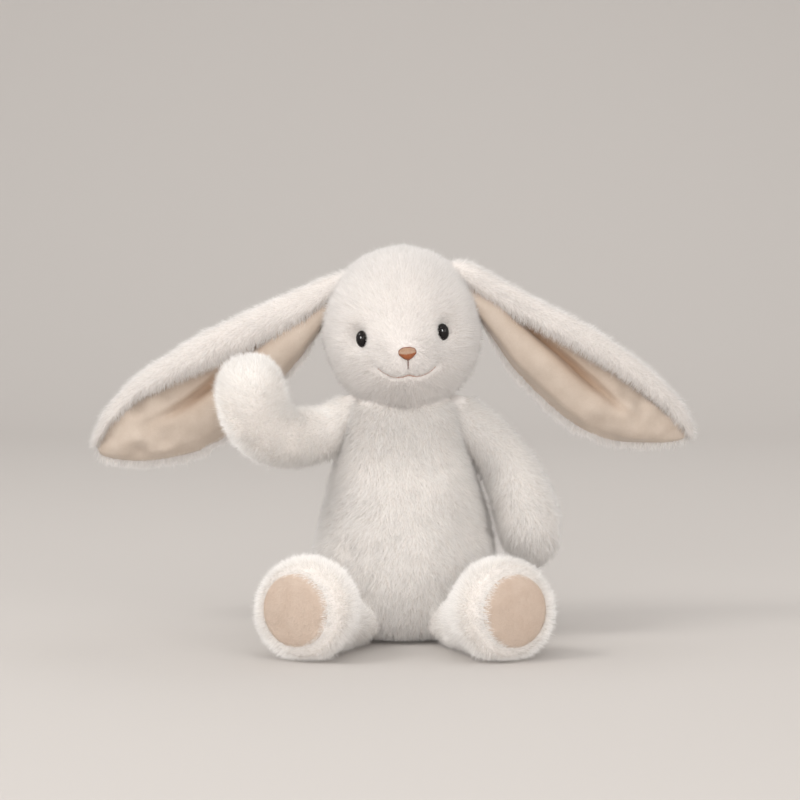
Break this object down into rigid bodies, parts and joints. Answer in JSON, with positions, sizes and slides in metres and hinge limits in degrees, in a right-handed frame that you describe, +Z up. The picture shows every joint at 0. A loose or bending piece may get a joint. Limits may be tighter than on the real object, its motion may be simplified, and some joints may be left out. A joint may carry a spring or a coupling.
{
  "type": "stuffed bunny rabbit",
  "caption": "Sitting plush rabbit with long lop ears folded along the top edge, one bent arm raised, flared feet with soft sole pads and a turning head.",
  "frame": {"origin": "centre of the flat seat under the torso, on the surface it sits on", "axes": "+Z up, -Y the way the rabbit faces, +X its left side"},
  "size_m": [0.364, 0.1973, 0.2323],
  "materials": {
    "plush_white": "long-pile plush",
    "ear_plush": "long-pile plush",
    "lining_cream": "short velour",
    "pad_beige": "short velour",
    "eye_black": "gloss",
    "washer_clear": "matte",
    "nose_thread": "satin stitch",
    "mouth_thread": "thread",
    "stuffing_fibre": "loose fibre",
    "pellet_pouch": "woven pouch"
  },
  "bodies": {
    "torso": {"torso_cover": "plush_white", "torso_stuffing": "stuffing_fibre", "bean_bag": "pellet_pouch", "tail_cover": "plush_white", "tail_stuffing": "stuffing_fibre"},
    "head": {"head_cover": "plush_white", "head_stuffing": "stuffing_fibre", "eye_left": "eye_black", "eye_right": "eye_black", "eye_washer_left": "washer_clear", "eye_washer_right": "washer_clear", "nose": "nose_thread", "mouth_stitch": "mouth_thread", "philtrum_stitch": "mouth_thread"},
    "ear_left": {"ear_left_outer": "ear_plush", "ear_left_lining": "lining_cream"},
    "ear_right": {"ear_right_outer": "ear_plush", "ear_right_lining": "lining_cream"},
    "arm_left": {"arm_left_cover": "plush_white", "arm_left_stuffing": "stuffing_fibre"},
    "arm_right": {"arm_right_cover": "plush_white", "arm_right_stuffing": "stuffing_fibre"},
    "leg_left": {"leg_left_cover": "plush_white", "leg_left_stuffing": "stuffing_fibre", "foot_pad_left": "pad_beige"},
    "leg_right": {"leg_right_cover": "plush_white", "leg_right_stuffing": "stuffing_fibre", "foot_pad_right": "pad_beige"}
  },
  "joints": [
    {"name": "head_turn", "type": "hinge", "parent": "torso", "child": "head", "pos_m": [0, 0, 0.184], "axis": [0, 0, 1], "range_deg": [-25, 12]},
    {"name": "ear_right_flap", "type": "hinge", "parent": "head", "child": "ear_right", "pos_m": [-0.055, 0.006, 0.195], "axis": [0, 1, 0], "range_deg": [-20, 75]},
    {"name": "ear_left_flap", "type": "hinge", "parent": "head", "child": "ear_left", "pos_m": [0.05, 0.006, 0.2035], "axis": [0, -1, 0], "range_deg": [-20, 75]},
    {"name": "arm_right_swing", "type": "hinge", "parent": "torso", "child": "arm_right", "pos_m": [-0.046, -0.006, 0.126], "axis": [1, 0, 0], "range_deg": [-5, 80]},
    {"name": "arm_left_swing", "type": "hinge", "parent": "torso", "child": "arm_left", "pos_m": [0.0485, -0.0025, 0.1175], "axis": [-1, 0, 0], "range_deg": [-15, 80]},
    {"name": "leg_right_splay", "type": "hinge", "parent": "torso", "child": "leg_right", "pos_m": [-0.033, -0.0565, 0.017], "axis": [0, 0, -1], "range_deg": [-20, 25]},
    {"name": "leg_left_splay", "type": "hinge", "parent": "torso", "child": "leg_left", "pos_m": [0.033, -0.0565, 0.017], "axis": [0, 0, 1], "range_deg": [-20, 25]}
  ]
}
